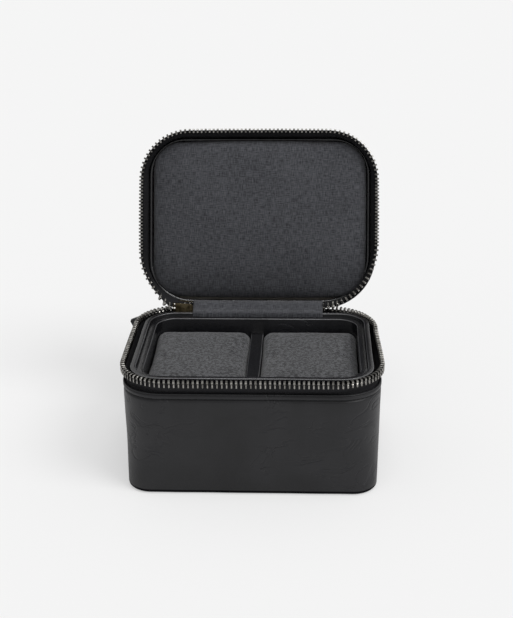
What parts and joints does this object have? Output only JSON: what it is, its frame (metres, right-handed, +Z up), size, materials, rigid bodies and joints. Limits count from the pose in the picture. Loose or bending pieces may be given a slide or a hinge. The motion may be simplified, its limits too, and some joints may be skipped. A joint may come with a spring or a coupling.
{
  "type": "zippered watch box",
  "caption": "Small rounded leather-look box with a zip-round hinged lid, a padded lid lining and a tray with a divider and watch cushions.",
  "frame": {"origin": "centre of the underside, on the surface that the box stands on", "axes": "+Z up, front of the box towards -Y, hinge at the back towards +Y, X across the width"},
  "size_m": [0.1481, 0.1633, 0.17],
  "materials": {
    "cover_leather": "fine grained black leather, softly creased",
    "inner_leather": "smooth black leather look wrap",
    "greyboard": "raw greyboard, hidden",
    "lining_cloth": "plain woven charcoal cloth",
    "foam": "soft foam, hidden",
    "cushion_cloth": "heather charcoal felted cloth",
    "zip_tape": "black woven zip tape",
    "zip_metal": "polished nickel teeth",
    "slider_metal": "antique light gold casting",
    "pull_leather": "black leather, cut edges"
  },
  "bodies": {
    "base": {"base_cover": "cover_leather", "base_underside_panel": "cover_leather", "base_floor_board": "greyboard", "base_wall_board": "greyboard", "collar_wrap": "inner_leather", "collar_board": "greyboard", "tray_floor_board": "greyboard", "tray_wall_wrap": "inner_leather", "tray_wall_board": "greyboard", "tray_floor_lining": "lining_cloth", "divider_wrap": "inner_leather", "divider_core": "greyboard", "base_zip_tape": "zip_tape", "base_zip_teeth": "zip_metal", "base_zip_stops": "zip_metal", "hinge_leather_strip": "cover_leather", "hinge_fabric_strip": "lining_cloth"},
    "lid": {"lid_cover": "cover_leather", "lid_top_board": "greyboard", "lid_wall_board": "greyboard", "lining_card": "greyboard", "lining_foam": "foam", "lining_fabric": "lining_cloth", "lid_zip_tape": "zip_tape", "lid_zip_teeth": "zip_metal", "lid_zip_stop": "zip_metal"},
    "slider": {"zip_slider": "slider_metal"},
    "ring": {"pull_ring": "slider_metal"},
    "strap": {"pull_strap": "pull_leather"},
    "cushion_left": {"cushion_left_cover": "cushion_cloth", "cushion_left_foam": "foam"},
    "cushion_right": {"cushion_right_cover": "cushion_cloth", "cushion_right_foam": "foam"}
  },
  "joints": [
    {"name": "lid_hinge", "type": "hinge", "parent": "base", "child": "lid", "pos_m": [0, 0.0533, 0.0685], "axis": [-1, 0, 0], "range_deg": [-110, 0], "deforming": ["hinge_leather_strip", "hinge_fabric_strip"]},
    {"name": "zip_slider_travel", "type": "hinge", "parent": "base", "child": "slider", "pos_m": [-0.0453, 0.0283, 0.0685], "axis": [0, 0, 1], "range_deg": [0, 5]},
    {"name": "pull_ring_swing", "type": "hinge", "parent": "slider", "child": "ring", "pos_m": [-0.04805, 0.05705, 0.0667], "axis": [0, 0, -1], "range_deg": [0, 15]},
    {"name": "pull_strap_swing", "type": "hinge", "parent": "ring", "child": "strap", "pos_m": [-0.05105, 0.05705, 0.0667], "axis": [0, -1, 0], "range_deg": [0, 35]},
    {"name": "cushion_left_lift", "type": "slide", "parent": "base", "child": "cushion_left", "axis": [0, 0, 1], "range_m": [0, 0.06]},
    {"name": "cushion_right_lift", "type": "slide", "parent": "base", "child": "cushion_right", "axis": [0, 0, 1], "range_m": [0, 0.06]}
  ]
}
